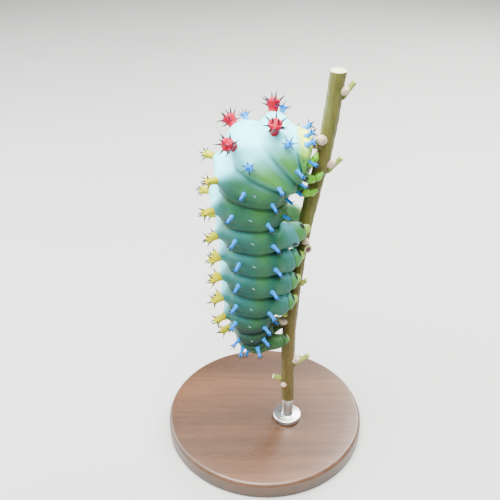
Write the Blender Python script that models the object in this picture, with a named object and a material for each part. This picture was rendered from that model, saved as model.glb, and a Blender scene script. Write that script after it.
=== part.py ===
"""Larva of the cecropia moth, full grown and head up, clasping a short length of cut stem.

Sizes are in millimetres and the meshes are scaled to metres when they are made.
The body is first laid out symmetric about the plane Y = 0, back toward -X, belly and stem
toward +X. A gentle sideways bow is added to the animal and its stem at the end.
"""
import math

import bmesh
import bpy
from mathutils import Matrix, Vector

MM = 0.001
GAP = 0.3                      # clear space kept between pieces that touch
BODY_PLACE = Vector((-4.5, 0.0, 63.0))   # from the layout's own origin to the part's origin

# Sideways bow of the stem and the body
BOW_OFFSET = -1.0
BOW_DEPTH = 1.6
BOW_PERIOD = 110.0
BOW_CENTRE_Z = 1.0

# Body segments, tail to head: the centre's x and z, the heading of the axis toward the head in
# degrees from +Z toward +X, the half width, and the half height to the back and to the belly
SECTION_KEYS = ("x", "z", "heading", "width", "back", "belly")
SEGMENT_SIZES = (
    ("anal_segment", 2.6, -29.8, -19, 4.6, 4.0, 4.2),
    ("abdomen_9", 1.4, -27.7, -13, 6.1, 5.2, 5.3),
    ("abdomen_8", 0.7, -24.4, -8, 7.5, 5.4, 5.9),
    ("abdomen_7", 0.2, -19.0, 3, 8.7, 7.4, 6.9),
    ("abdomen_6", 0.6, -13.1, 6, 9.5, 8.6, 7.9),
    ("abdomen_5", 1.2, -6.4, 5, 9.9, 9.5, 8.5),
    ("abdomen_4", 1.5, 0.5, 2, 10.2, 9.9, 8.8),
    ("abdomen_3", 1.0, 7.6, 0, 10.4, 10.1, 9.0),
    ("abdomen_2", 0.5, 14.4, 5, 10.3, 10.4, 9.2),
    ("abdomen_1", 1.4, 21.2, 19, 10.1, 10.8, 9.5),
    ("thorax_3", 3.8, 27.4, 40, 9.8, 11.3, 10.5),
    ("thorax_2", 9.3, 30.6, 63, 8.6, 8.1, 7.6),
    ("thorax_1", 13.0, 30.7, 88, 6.9, 5.0, 4.4),
)
SEGMENT_NAMES = [sizes[0] for sizes in SEGMENT_SIZES]
SEGMENTS = [dict(zip(SECTION_KEYS, sizes[1:])) for sizes in SEGMENT_SIZES]
TAIL_END = 2.2                 # from the last segment's centre to the tip of the tail
COLLAR_END = 1.7               # from the first segment's centre to its rounded front
COLLAR_HEADING = 104.0
END_ROUNDING = 0.6             # share of the half width by which the tail's tip is smaller
COLLAR_ROUNDING = 2.3          # how much less the half sizes are at the collar's front
FOLD_DEPTH = 0.8               # how far the skin dips between two segments
BODY_SIDES = 24
BULGE_POWER = 2.3
BODY_SECTIONS = (-1.0, -0.6, 0.0, 0.6, 1.0)

# Kinds of wart. The profile is (height above the skin, radius) from the sunk root to the top.
# Spines are drawn out of the faces of a band, as (band, first face, step to the next, lean up).
WART_KINDS = {
    "red": dict(profile=((-0.7, 2.0), (0.3, 1.15), (0.8, 1.25), (1.5, 1.75), (2.6, 1.7), (3.4, 0.9)),
                sides=8, spines=((3, 0, 2, 0.2), (4, 1, 4, 1.0)), spine_length=2.0, spine_inset=0.38),
    "yellow": dict(profile=((-0.8, 2.1), (1.1, 1.15), (1.7, 0.8), (2.6, 0.95), (3.5, 1.0), (4.1, 0.6)),
                   sides=8, spines=((3, 0, 2, 0.3), (4, 1, 4, 1.2)), spine_length=1.6, spine_inset=0.13),
    "blue": dict(profile=((-0.5, 0.95), (0.2, 0.6), (1.6, 0.52), (2.3, 0.6), (2.6, 0.42)),
                 sides=5, spines=((2, 0, 2, 0.5),), spine_length=0.8, spine_inset=0.0),
    "small": dict(profile=((-0.5, 0.75), (0.1, 0.5), (1.1, 0.45), (1.6, 0.5), (1.8, 0.38)),
                  sides=5, spines=((2, 0, 2, 0.5),), spine_length=0.6, spine_inset=0.0),
}

# Warts of each segment, on both sides alike: (degrees round the body from the middle of the back,
# kind, place along the segment from -1 at its rear fold to 1 at its front fold, and the degrees
# that the wart leans toward the tail)
BELLY_WART = (150, "small", -0.2, 14)
WARTS = {
    "thorax_1": ((14, "small", 0.5, -38), (42, "blue", 0.4, -38),
                 (74, "blue", 0.4, -38), (114, "blue", 0.7, 0)),
    "thorax_2": ((32, "red", 0.0, 0), (62, "blue", 0.2, 0),
                 (116, "blue", 0.3, 5), (141, "small", -0.5, 0)),
    "thorax_3": ((31, "red", -0.1, 0), (68, "blue", -0.1, 0),
                 (115, "blue", -0.4, 5), (150, "small", -0.4, 0)),
    "abdomen_1": ((28, "yellow", -0.1, 4), (72, "blue", 0.0, 14), (118, "blue", -0.4, 14), BELLY_WART),
    "abdomen_2": ((28, "yellow", -0.1, 4), (61, "blue", 0.0, 14), (115, "blue", -0.3, 14), BELLY_WART),
    "abdomen_3": ((28, "yellow", -0.1, 4), (62, "blue", 0.1, 14), (120, "blue", -0.2, 14)),
    "abdomen_4": ((28, "yellow", -0.1, 4), (64, "blue", 0.1, 14), (122, "blue", -0.2, 14)),
    "abdomen_5": ((28, "yellow", 0.0, 4), (63, "blue", 0.0, 14), (121, "blue", -0.2, 14)),
    "abdomen_6": ((28, "yellow", 0.0, 4), (60, "blue", 0.0, 14), (123, "blue", -0.3, 14)),
    "abdomen_7": ((28, "yellow", 0.0, 4), (57, "blue", 0.0, 14), (123, "blue", -0.3, 14), BELLY_WART),
    "abdomen_8": ((50, "blue", 0.0, 14), (121, "blue", -0.3, 14)),
    "abdomen_9": ((50, "blue", 0.0, 35), (98, "blue", 0.0, 35)),
    "anal_segment": ((30, "small", -0.2, 40),),
}
MIDDLE_WART = ("abdomen_8", "yellow", 10)   # the one wart on the middle of the back, and its lean

# The stem: a smooth route (x, z) from its lower cut to its upper cut
STEM_ROUTE = ((11.2, -50.0), (11.0, -27.0), (13.2, -1.0), (15.9, 17.0), (18.2, 29.5), (20.2, 50.0))
STEM_RADIUS_LOW = 2.0
STEM_RADIUS_HIGH = 1.8
STEM_SIDES = 10
STEM_RINGS = 14

# What grows on the stem: height, degrees round it from +X toward +Y, size and reach
BUDS = (
    dict(z=45.0, around=-25, radius=1.0, reach=1.3),
    dict(z=32.6, around=-130, radius=1.3, reach=1.7),
    dict(z=26.3, around=-20, radius=1.1, reach=1.5),
    dict(z=4.9, around=-70, radius=0.9, reach=1.2),
    dict(z=-22.3, around=-115, radius=1.2, reach=1.6),
    dict(z=-36.0, around=-20, radius=1.1, reach=1.4),
    dict(z=-44.2, around=-125, radius=0.8, reach=1.1),
)
STUBS = (
    dict(z=43.4, around=15, radius=0.65, reach=4.5, rise=50),
    dict(z=30.8, around=-152, radius=0.75, reach=1.5, rise=5),
    dict(z=24.6, around=-5, radius=0.65, reach=5.0, rise=48),
    dict(z=2.7, around=-55, radius=0.75, reach=1.7, rise=5),
    dict(z=-10.3, around=-25, radius=0.6, reach=2.2, rise=45),
    dict(z=-19.9, around=-140, radius=0.65, reach=1.5, rise=25),
    dict(z=-23.3, around=-145, radius=0.8, reach=2.0, rise=5),
    dict(z=-37.4, around=0, radius=0.65, reach=5.0, rise=35),
    dict(z=-42.4, around=-170, radius=0.65, reach=2.6, rise=20),
)

BUD_RISE = 0.6                 # how much a bud points up for each part that it points out
BUD_ROOT = 0.8                 # where a bud starts, as a share of the stem's radius
BUD_STANDS = 0.55              # how far its middle stands out from there, as a share of its reach
BUD_SIDES = 8
STUB_FLARE = (1.3, 1.2, 1.0)   # a stub's radius in the stem, at its surface and at the cut
STUB_SIDES = 7

# Walking legs, as points (x, distance from the middle plane, z) from root to claw
LEG_ROUTES = {
    "leg_1": ((13.3, 4.1, 27.5), (14.8, 4.6, 26.6), (16.1, 4.3, 26.5), (17.2, 3.3, 27.6), (17.9, 2.5, 28.3)),
    "leg_2": ((12.2, 3.8, 24.8), (13.9, 4.4, 22.9), (15.7, 4.1, 22.4), (17.1, 3.2, 23.4), (17.9, 2.5, 24.1)),
    "leg_3": ((11.2, 3.4, 21.4), (12.9, 4.0, 19.2), (14.6, 3.9, 18.2), (16.2, 3.1, 18.8), (17.0, 2.4, 19.3)),
}
LEG_RADII = (1.25, 1.05, 0.8, 0.6, 0.3)
LEG_SIDES = 8

# Fleshy false legs under four segments: rings as (distance from the middle plane, part of the
# way from the body's centre to the stem's centre, half length along the body, half thickness)
PROLEG_RINGS = (
    (5.0, 0.34, 3.1, 2.6),
    (5.9, 0.62, 3.1, 2.4),
    (5.6, 0.78, 2.7, 2.1),
    (4.4, 0.92, 2.1, 1.6),
    (3.4, 1.03, 1.7, 1.2),
    (2.8, 1.10, 1.2, 0.7),
)
PROLEG_SIDES = 10
PROLEG_RISES = {3: 0.6, 4: -0.3, 5: 0.5, 6: 0.9}   # by segment, how much higher its feet stand

# The pair of claspers at the tail, as points (x, distance from the middle plane, z) and radii
CLASPER_ROUTE = ((3.3, 2.0, -28.9), (5.7, 3.3, -27.6), (7.8, 4.0, -26.8),
                 (9.5, 3.7, -26.4), (10.6, 3.0, -26.2))
CLASPER_RADII = (2.3, 2.2, 1.9, 1.5, 0.9)

# The head, folded down in front of the chest, its face toward the stem
HEAD_CENTRE = (13.4, 25.0)
HEAD_FACE_HEADING = 112.0      # the way that the face looks
HEAD_LOBE = (1.75, 2.25, 1.75)  # half width, half height, half depth of each of its two lobes
HEAD_LOBE_SPREAD = 0.7
HEAD_SIDES = 12
# Smaller parts of the face, as (to the side, up, out) from the head's centre and half sizes
LIP_PLACE = (0.0, -1.5, 0.95)
LIP_SIZE = (0.85, 0.5, 0.5)
JAW_PLACE = (0.45, -2.05, 0.65)
JAW_SIZE = (0.45, 0.5, 0.45)
FEELER_ROOT = (1.45, -1.15, 0.8)
FEELER_TIP = (1.95, -1.7, 1.35)
FEELER_RADII = (0.32, 0.25)
FACE_SIDES = 8
FEELER_SIDES = 6

# The stand
BASE_RADIUS = 29.0
BASE_THICKNESS = 5.0
BASE_EDGE = 1.2                # radius of the rounded upper edge
BASE_EDGE_STEPS = 3
BASE_CHAMFER = 0.4
BASE_SIDES = 40
ROD_RADIUS = 1.6
ROD_FLANGE_RADIUS = 4.2
ROD_FLANGE_HEIGHT = 1.2
ROD_FLANGE_CHAMFER = 0.3
ROD_SIDES = 20

SMOOTH_UNDER = 40.0            # edges under this many degrees are shaded smooth

# Colour, roughness and metallic value of each material
COLOURS = {
    "skin": ((0.22, 0.48, 0.40), 0.45, 0.0),
    "head": ((0.35, 0.55, 0.18), 0.35, 0.0),
    "legs": ((0.50, 0.66, 0.15), 0.40, 0.0),
    "prolegs": ((0.28, 0.50, 0.33), 0.45, 0.0),
    "stem": ((0.30, 0.20, 0.09), 0.80, 0.0),
    "base": ((0.16, 0.08, 0.04), 0.45, 0.0),
    "rod": ((0.70, 0.70, 0.70), 0.30, 1.0),
}


def clear_scene():
    """Remove whatever the open file holds."""
    for thing in list(bpy.data.objects):
        bpy.data.objects.remove(thing, do_unlink=True)


def material(name):
    """Principled material of one of the named colours, made once."""
    if name in bpy.data.materials:
        return bpy.data.materials[name]
    colour, roughness, metallic = COLOURS[name]
    made = bpy.data.materials.new(name)
    made.use_nodes = True
    shader = made.node_tree.nodes["Principled BSDF"]
    shader.inputs["Base Color"].default_value = (*colour, 1.0)
    shader.inputs["Roughness"].default_value = roughness
    shader.inputs["Metallic"].default_value = metallic
    made.diffuse_color = (*colour, 1.0)
    return made


def object_from(mesh_data, name, material_name=None):
    """Turn a bmesh into an object with outward faces, in the layout's millimetres."""
    bmesh.ops.recalc_face_normals(mesh_data, faces=mesh_data.faces)
    mesh = bpy.data.meshes.new(name)
    mesh_data.to_mesh(mesh)
    mesh_data.free()
    made = bpy.data.objects.new(name, mesh)
    bpy.context.scene.collection.objects.link(made)
    if material_name:
        mesh.materials.append(material(material_name))
    return made


def loft(rings):
    """Closed body through rings of points with like counts, flat at both ends."""
    body = bmesh.new()
    rows = [[body.verts.new(point) for point in ring] for ring in rings]
    count = len(rows[0])
    for lower, upper in zip(rows, rows[1:]):
        for index in range(count):
            following = (index + 1) % count
            body.faces.new((lower[index], lower[following], upper[following], upper[index]))
    body.faces.new(rows[0])
    body.faces.new(rows[-1])
    return body


def ring_about(centre, first, second, radius_first, radius_second, sides):
    """Points of an ellipse round a centre, in the plane of two given directions."""
    points = []
    for index in range(sides):
        angle = 2.0 * math.pi * index / sides
        points.append(centre + first * (radius_first * math.cos(angle))
                      + second * (radius_second * math.sin(angle)))
    return points


def tube(points, radii, sides):
    """Closed tapering tube along a route of points, its rings square to the route."""
    rings = []
    for index, (point, radius) in enumerate(zip(points, radii)):
        before = points[max(index - 1, 0)]
        after = points[min(index + 1, len(points) - 1)]
        along = (after - before).normalized()
        first = along.cross(Vector((1.0, 0.3, 0.2))).normalized()
        rings.append(ring_about(point, first, along.cross(first), radius, radius, sides))
    return loft(rings)


def ellipsoid(centre, axes, radii, sides):
    """Ellipsoid with its three half sizes along the columns of a rotation matrix."""
    body = bmesh.new()
    bmesh.ops.create_uvsphere(body, u_segments=sides, v_segments=max(6, sides // 2), radius=1.0)
    placing = Matrix.Translation(centre) @ axes.to_4x4() @ Matrix.Diagonal((*radii, 1.0))
    bmesh.ops.transform(body, matrix=placing, verts=body.verts)
    return body


def body_volume(mesh_data, faces):
    """Signed volume enclosed by a set of faces."""
    total = 0.0
    for face in faces:
        corners = [vert.co for vert in face.verts]
        for second, third in zip(corners[1:], corners[2:]):
            total += corners[0].dot(second.cross(third)) / 6.0
    return total


def keep_largest(thing):
    """Keep only the closed surface that holds the most volume."""
    mesh_data = bmesh.new()
    mesh_data.from_mesh(thing.data)
    unseen = set(mesh_data.faces)
    groups = []
    while unseen:
        group = set()
        waiting = [unseen.pop()]
        while waiting:
            face = waiting.pop()
            group.add(face)
            for edge in face.edges:
                for neighbour in edge.link_faces:
                    if neighbour in unseen:
                        unseen.remove(neighbour)
                        waiting.append(neighbour)
        groups.append(group)
    largest = max(groups, key=lambda group: abs(body_volume(mesh_data, group)))
    spare = [face for group in groups if group is not largest for face in group]
    bmesh.ops.delete(mesh_data, geom=spare, context="FACES")
    mesh_data.to_mesh(thing.data)
    mesh_data.free()


def combine(thing, others, operation, solver="EXACT"):
    """Boolean of one closed object with a collection of them, applied, the helpers removed."""
    helpers = bpy.data.collections.new("helpers")
    for other in others:
        helpers.objects.link(other)
    step = thing.modifiers.new(operation.lower(), "BOOLEAN")
    step.operation = operation
    step.operand_type = "COLLECTION"
    step.collection = helpers
    step.solver = solver
    graph = bpy.context.evaluated_depsgraph_get()
    result = bpy.data.meshes.new_from_object(thing.evaluated_get(graph))
    thing.modifiers.clear()
    thing.data = result
    for other in others:
        bpy.data.objects.remove(other, do_unlink=True)
    bpy.data.collections.remove(helpers)
    keep_largest(thing)


def axes_at(heading):
    """Directions of a body section: along the body, to its back, and to its right side."""
    angle = math.radians(heading)
    along = Vector((math.sin(angle), 0.0, math.cos(angle)))
    back = Vector((-math.cos(angle), 0.0, math.sin(angle)))
    return along, back, Vector((0.0, -1.0, 0.0))


def between(first, second, part):
    """Section part of the way from one section to another, each a dict of plain sizes."""
    return {key: first[key] + (second[key] - first[key]) * part for key in SECTION_KEYS}


def shrunk(section, amount):
    """The section with its half sizes less by an amount."""
    smaller = dict(section)
    for key in ("width", "back", "belly"):
        smaller[key] = section[key] - amount
    return smaller


def rear_border(index):
    """Section at the fold behind a segment, or at the tip of the tail."""
    here = SEGMENTS[index]
    if index > 0:
        return shrunk(between(SEGMENTS[index - 1], here, 0.5), FOLD_DEPTH)
    along = axes_at(here["heading"])[0]
    tip = dict(here)
    tip["x"] = here["x"] - along.x * TAIL_END
    tip["z"] = here["z"] - along.z * TAIL_END
    return shrunk(tip, END_ROUNDING * here["width"])


def front_border(index):
    """Section at the fold in front of a segment, or at the rim of the collar."""
    if index + 1 < len(SEGMENTS):
        return rear_border(index + 1)
    here = SEGMENTS[index]
    along = axes_at(here["heading"])[0]
    rim = dict(here, heading=COLLAR_HEADING)
    rim["x"] = here["x"] + along.x * COLLAR_END
    rim["z"] = here["z"] + along.z * COLLAR_END
    return shrunk(rim, COLLAR_ROUNDING)


def section_at(index, place):
    """Section of a segment: place -1 is its rear fold, 0 its middle, 1 its front fold.

    Centre and heading run straight from fold to middle. The half sizes swell from the folds
    to the middle by one less the place's size to the power BULGE_POWER.
    """
    middle = SEGMENTS[index]
    border = front_border(index) if place >= 0.0 else rear_border(index)
    reach = abs(place)
    section = between(middle, border, reach)
    for key in ("width", "back", "belly"):
        section[key] = middle[key] + (border[key] - middle[key]) * reach ** BULGE_POWER
    return section


def skin_point(section, angle, grow=0.0):
    """Point of a section's outline, angle degrees from the back toward the right side."""
    back, side = axes_at(section["heading"])[1:]
    turn = math.radians(angle)
    height = section["back"] if math.cos(turn) > 0.0 else section["belly"]
    centre = Vector((section["x"], 0.0, section["z"]))
    return (centre + back * ((height + grow) * math.cos(turn))
            + side * ((section["width"] + grow) * math.sin(turn)))


def segment_body(index, grow=0.0):
    """Closed loft of one segment. It stops half a gap short of each fold, plus any growth."""
    rings = []
    for place in BODY_SECTIONS:
        section = section_at(index, place)
        along = axes_at(section["heading"])[0]
        pull = 0.0
        if abs(place) == 1.0:
            pull = -place * (GAP / 2.0 - grow)
        rings.append([skin_point(section, 360.0 * step / BODY_SIDES, grow) + along * pull
                      for step in range(BODY_SIDES)])
    return loft(rings)


def wart(kind, point, direction):
    """Turned wart with its spines drawn out of chosen faces, standing on a skin point."""
    sides = kind["sides"]
    rings = []
    for height, radius in kind["profile"]:
        rings.append(ring_about(Vector((0.0, 0.0, height)), Vector((1.0, 0.0, 0.0)),
                                Vector((0.0, 1.0, 0.0)), radius, radius, sides))
    body = loft(rings)
    body.faces.ensure_lookup_table()
    chosen = []
    for band, start, step, lean in kind["spines"]:
        for side in range(start, sides, step):
            chosen.append((body.faces[band * sides + side], lean))
    bmesh.ops.recalc_face_normals(body, faces=body.faces)
    for face, lean in chosen:
        if kind["spine_inset"] > 0.0:
            bmesh.ops.inset_individual(body, faces=[face], thickness=kind["spine_inset"])
        push = (face.normal + Vector((0.0, 0.0, lean))).normalized() * kind["spine_length"]
        middle = face.calc_center_median()
        tip = bmesh.ops.poke(body, faces=[face])["verts"][0]
        tip.co = middle + push
    turn = Vector((0.0, 0.0, 1.0)).rotation_difference(direction)
    placing = Matrix.Translation(point) @ turn.to_matrix().to_4x4()
    bmesh.ops.transform(body, matrix=placing, verts=body.verts)
    return object_from(body, "wart")


def wart_on(index, angle, kind, place, tilt):
    """One wart of a kind on a segment, angle degrees from the back, leaning toward the tail."""
    section = section_at(index, place)
    along = axes_at(section["heading"])[0]
    point = skin_point(section, angle)
    across = skin_point(section, angle + 1.0) - skin_point(section, angle - 1.0)
    outward = across.cross(along).normalized()
    if outward.dot(point - Vector((section["x"], 0.0, section["z"]))) < 0.0:
        outward.negate()
    lean = math.radians(tilt)
    return wart(WART_KINDS[kind], point, outward * math.cos(lean) - along * math.sin(lean))


def warts_of(index):
    """All the warts of a segment, each row on the right and the left side."""
    name = SEGMENT_NAMES[index]
    made = []
    for angle, kind, place, tilt in WARTS[name]:
        made.append(wart_on(index, angle, kind, place, tilt))
        made.append(wart_on(index, -angle, kind, place, tilt))
    middle_segment, kind, tilt = MIDDLE_WART
    if name == middle_segment:
        made.append(wart_on(index, 0.0, kind, 0.0, tilt))
    return made


def build_segments():
    """Every body segment with its warts fused on."""
    for index, name in enumerate(SEGMENT_NAMES):
        node = object_from(segment_body(index), name, "skin")
        combine(node, warts_of(index), "UNION")


def stem_x(height):
    """The stem's x at a height: a cubic run between the route's points, its slope at each
    point that of the chord between its neighbours."""
    slopes = []
    last = len(STEM_ROUTE) - 1
    for index in range(last + 1):
        before = STEM_ROUTE[max(index - 1, 0)]
        after = STEM_ROUTE[min(index + 1, last)]
        slopes.append((after[0] - before[0]) / (after[1] - before[1]))
    span = 0
    while span < last - 1 and height > STEM_ROUTE[span + 1][1]:
        span += 1
    (x_low, z_low), (x_high, z_high) = STEM_ROUTE[span], STEM_ROUTE[span + 1]
    run = z_high - z_low
    part = (height - z_low) / run
    square = part * part
    cube = square * part
    return ((2 * cube - 3 * square + 1) * x_low + (cube - 2 * square + part) * run * slopes[span]
            + (3 * square - 2 * cube) * x_high + (cube - square) * run * slopes[span + 1])


def stem_radius(height):
    """The stem thins evenly from its lower to its upper cut."""
    low, high = STEM_ROUTE[0][1], STEM_ROUTE[-1][1]
    part = (height - low) / (high - low)
    return STEM_RADIUS_LOW + (STEM_RADIUS_HIGH - STEM_RADIUS_LOW) * part


def stem_body(grow=0.0):
    """Plain closed tube of the stem, with level cuts at both ends."""
    low, high = STEM_ROUTE[0][1], STEM_ROUTE[-1][1]
    rings = []
    for step in range(STEM_RINGS):
        height = low + (high - low) * step / (STEM_RINGS - 1)
        centre = Vector((stem_x(height), 0.0, height))
        radius = stem_radius(height) + grow
        rings.append(ring_about(centre, Vector((1.0, 0.0, 0.0)), Vector((0.0, 1.0, 0.0)),
                                radius, radius, STEM_SIDES))
    return loft(rings)


def build_stem():
    """The perch: the stem with its buds, rooted in it, and the flared stubs of cut leaf stalks."""
    node = object_from(stem_body(), "perch_stem", "stem")
    growths = []
    for bud in BUDS:
        around = math.radians(bud["around"])
        outward = Vector((math.cos(around), math.sin(around), 0.0))
        root = Vector((stem_x(bud["z"]), 0.0, bud["z"])) + outward * (BUD_ROOT * stem_radius(bud["z"]))
        pointing = (outward + Vector((0.0, 0.0, BUD_RISE))).normalized()
        turn = Vector((0.0, 0.0, 1.0)).rotation_difference(pointing).to_matrix()
        body = ellipsoid(root + pointing * (BUD_STANDS * bud["reach"]), turn,
                         (bud["radius"], bud["radius"], bud["reach"]), BUD_SIDES)
        growths.append(object_from(body, "bud"))
    for stub in STUBS:
        around = math.radians(stub["around"])
        rise = math.radians(stub["rise"])
        outward = Vector((math.cos(around), math.sin(around), 0.0))
        pointing = outward * math.cos(rise) + Vector((0.0, 0.0, math.sin(rise)))
        middle = Vector((stem_x(stub["z"]), 0.0, stub["z"]))
        surface = middle + outward * stem_radius(stub["z"])
        points = (middle, surface, surface + pointing * stub["reach"])
        radii = [stub["radius"] * flare for flare in STUB_FLARE]
        growths.append(object_from(tube(points, radii, STUB_SIDES), "stub"))
    combine(node, growths, "UNION", "MANIFOLD")


def cutters(segment_names):
    """Grown copies of named segments and of the stem, to cut a neighbour clear of them."""
    made = [object_from(stem_body(GAP), "cutter")]
    for index, name in enumerate(SEGMENT_NAMES):
        if name in segment_names:
            made.append(object_from(segment_body(index, GAP), "cutter"))
    return made


def mirrored(point, sign):
    """A point (x, distance from the middle plane, z) on the right (1) or left (-1) side."""
    return Vector((point[0], -sign * point[1], point[2]))


def build_legs():
    """Three pairs of walking legs, each cut to lie against its segment and the stem."""
    for name, points in LEG_ROUTES.items():
        for side, sign in (("right", 1), ("left", -1)):
            route = [mirrored(point, sign) for point in points]
            node = object_from(tube(route, LEG_RADII, LEG_SIDES), "%s_%s" % (name, side), "legs")
            near = cutters(("abdomen_1", "thorax_3", "thorax_2", "thorax_1"))
            combine(node, near, "DIFFERENCE", "MANIFOLD")


def build_prolegs():
    """Four pairs of fleshy false legs whose feet hold the stem from both sides."""
    for number, rise in PROLEG_RISES.items():
        name = "abdomen_%d" % number
        middle = SEGMENTS[SEGMENT_NAMES.index(name)]
        along, back, right = axes_at(middle["heading"])
        centre = Vector((middle["x"], 0.0, middle["z"]))
        to_stem = (stem_x(middle["z"]) - middle["x"]) / -back.x
        near = (name, "abdomen_%d" % (number - 1), "abdomen_%d" % (number + 1))
        for side, sign in (("right", 1), ("left", -1)):
            rings = []
            for off, part, length, thickness in PROLEG_RINGS:
                place = centre + right * (sign * off) - back * (part * to_stem)
                place.z += rise * part
                rings.append((place, length, thickness))
            loops = []
            for order, (place, length, thickness) in enumerate(rings):
                before = rings[max(order - 1, 0)][0]
                after = rings[min(order + 1, len(rings) - 1)][0]
                across = along.cross((after - before).normalized()).normalized()
                loops.append(ring_about(place, along, across, length, thickness, PROLEG_SIDES))
            node = object_from(loft(loops), "proleg_%d_%s" % (number, side), "prolegs")
            combine(node, cutters(near), "DIFFERENCE")


def build_claspers():
    """The pair of claspers at the tail, which hold the stem from both sides."""
    for side, sign in (("right", 1), ("left", -1)):
        route = [mirrored(point, sign) for point in CLASPER_ROUTE]
        node = object_from(tube(route, CLASPER_RADII, PROLEG_SIDES), "clasper_%s" % side, "prolegs")
        combine(node, cutters(("anal_segment", "abdomen_9", "abdomen_8")), "DIFFERENCE", "MANIFOLD")


def build_head():
    """Head of two rounded lobes, with upper lip, jaws and two short feelers."""
    face, crown, right = axes_at(HEAD_FACE_HEADING)
    axes = Matrix((right, crown, face)).transposed()
    centre = Vector((HEAD_CENTRE[0], 0.0, HEAD_CENTRE[1]))

    def at(place, sign=1):
        side, up, out = place
        return centre + right * (sign * side) + crown * up + face * out

    lobe = (HEAD_LOBE_SPREAD, 0.0, 0.0)
    node = object_from(ellipsoid(at(lobe), axes, HEAD_LOBE, HEAD_SIDES), "head", "head")
    pieces = [ellipsoid(at(lobe, -1), axes, HEAD_LOBE, HEAD_SIDES)]
    pieces.append(ellipsoid(at(LIP_PLACE), axes, LIP_SIZE, FACE_SIDES))
    for sign in (1, -1):
        pieces.append(ellipsoid(at(JAW_PLACE, sign), axes, JAW_SIZE, FACE_SIDES))
        pieces.append(tube((at(FEELER_ROOT, sign), at(FEELER_TIP, sign)), FEELER_RADII, FEELER_SIDES))
    combine(node, [object_from(piece, "head_piece") for piece in pieces], "UNION")
    combine(node, cutters(("thorax_1", "thorax_2", "thorax_3")), "DIFFERENCE")


def bow(height):
    """Sideways shift of the stem and the body at a height: one wave of a cosine."""
    return BOW_OFFSET + BOW_DEPTH * math.cos(2.0 * math.pi * (height - BOW_CENTRE_Z) / BOW_PERIOD)


def bend_and_place():
    """Add the bow to the animal and its stem and move them onto the stand's place."""
    for thing in bpy.data.objects:
        for vert in thing.data.vertices:
            vert.co.y += bow(vert.co.z)
            vert.co += BODY_PLACE


def build_stand():
    """Round wooden base and a short steel rod with a flange, up to the stem's lower cut."""
    foot = STEM_ROUTE[0]
    rod_place = Vector((foot[0], bow(foot[1]), 0.0)) + Vector((BODY_PLACE.x, 0.0, 0.0))
    rod_top = foot[1] + BODY_PLACE.z - GAP
    rod_low = BASE_THICKNESS + GAP
    east = Vector((1.0, 0.0, 0.0))
    north = Vector((0.0, 1.0, 0.0))
    outline = [(0.0, BASE_RADIUS - BASE_CHAMFER), (BASE_CHAMFER, BASE_RADIUS)]
    for step in range(BASE_EDGE_STEPS + 1):
        turn = math.radians(90.0 * step / BASE_EDGE_STEPS)
        outline.append((BASE_THICKNESS - BASE_EDGE + BASE_EDGE * math.sin(turn),
                        BASE_RADIUS - BASE_EDGE + BASE_EDGE * math.cos(turn)))
    rings = [ring_about(Vector((0.0, 0.0, height)), east, north, radius, radius, BASE_SIDES)
             for height, radius in outline]
    object_from(loft(rings), "stand_base", "base")
    flange_top = rod_low + ROD_FLANGE_HEIGHT
    outline = ((rod_low, ROD_FLANGE_RADIUS), (flange_top - ROD_FLANGE_CHAMFER, ROD_FLANGE_RADIUS),
               (flange_top, ROD_FLANGE_RADIUS - ROD_FLANGE_CHAMFER),
               (flange_top, ROD_RADIUS), (rod_top, ROD_RADIUS))
    rings = [ring_about(rod_place + Vector((0.0, 0.0, height)), east, north, radius, radius, ROD_SIDES)
             for height, radius in outline]
    object_from(loft(rings), "stand_rod", "rod")


def finish_meshes():
    """Scale every mesh to metres and shade the round pieces smooth."""
    for thing in bpy.data.objects:
        thing.data.transform(Matrix.Scale(MM, 4))
        thing.data.shade_smooth()
        thing.data.set_sharp_from_angle(angle=math.radians(SMOOTH_UNDER))


clear_scene()
build_segments()
build_stem()
build_legs()
build_prolegs()
build_claspers()
build_head()
bend_and_place()
build_stand()
finish_meshes()
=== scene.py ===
"""Looks of a full-grown cecropia moth larva, head up on a short length of cut stem.

Sizes are in millimetres about the body's own place, and every mesh is moved to the part's frame
and turned to metres as it is made. The stand's sizes are in the part's frame.
"""

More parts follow.
